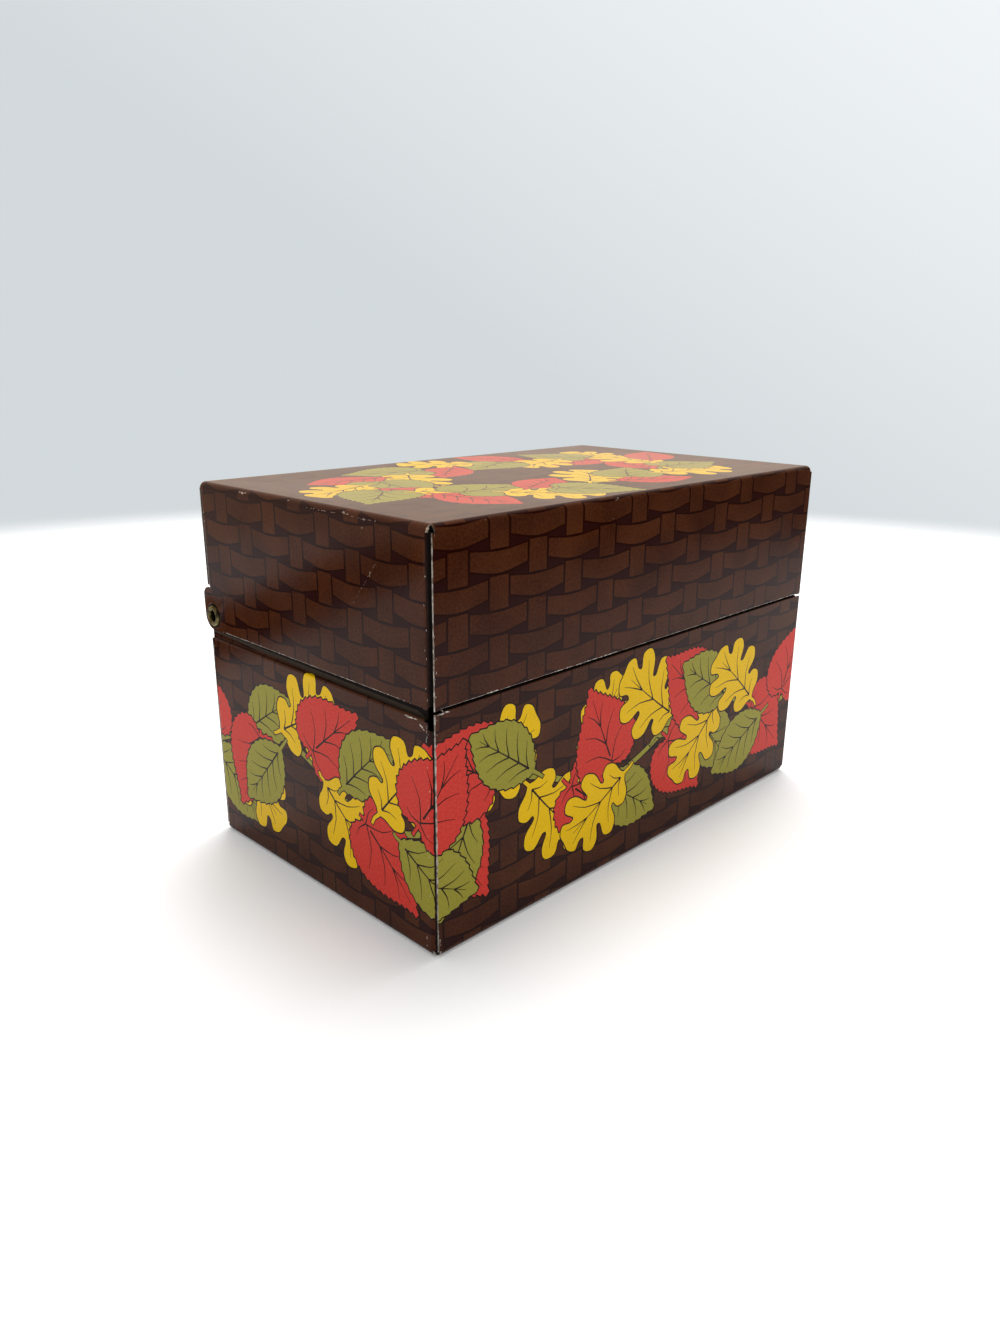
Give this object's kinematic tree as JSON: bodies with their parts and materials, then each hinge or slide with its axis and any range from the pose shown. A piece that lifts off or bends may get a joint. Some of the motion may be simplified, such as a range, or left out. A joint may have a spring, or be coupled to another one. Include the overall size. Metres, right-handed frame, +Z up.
{
  "type": "recipe card box",
  "caption": "Hinged tinplate card box: a folded base with an inset rim, and a hemmed lid that swings back on tubular eyelets at its back corners.",
  "frame": {"origin": "middle of the base's underside, between its end panels and its front and back panels", "axes": "+X along the long front, +Y towards the hinges at the back, +Z up"},
  "size_m": [0.1348, 0.0812, 0.087],
  "materials": {
    "printed_tinplate": "gloss",
    "eyelet_brass": "tarnished"
  },
  "bodies": {
    "base": {"base_shell": "printed_tinplate", "hinge_eyelet_left": "eyelet_brass", "hinge_eyelet_right": "eyelet_brass"},
    "lid": {"lid_shell": "printed_tinplate"}
  },
  "joints": [
    {"name": "lid_hinge", "type": "hinge", "parent": "base", "child": "lid", "pos_m": [0, 0.0377, 0.0559], "axis": [-1, 0, 0], "range_deg": [0, 130]}
  ]
}
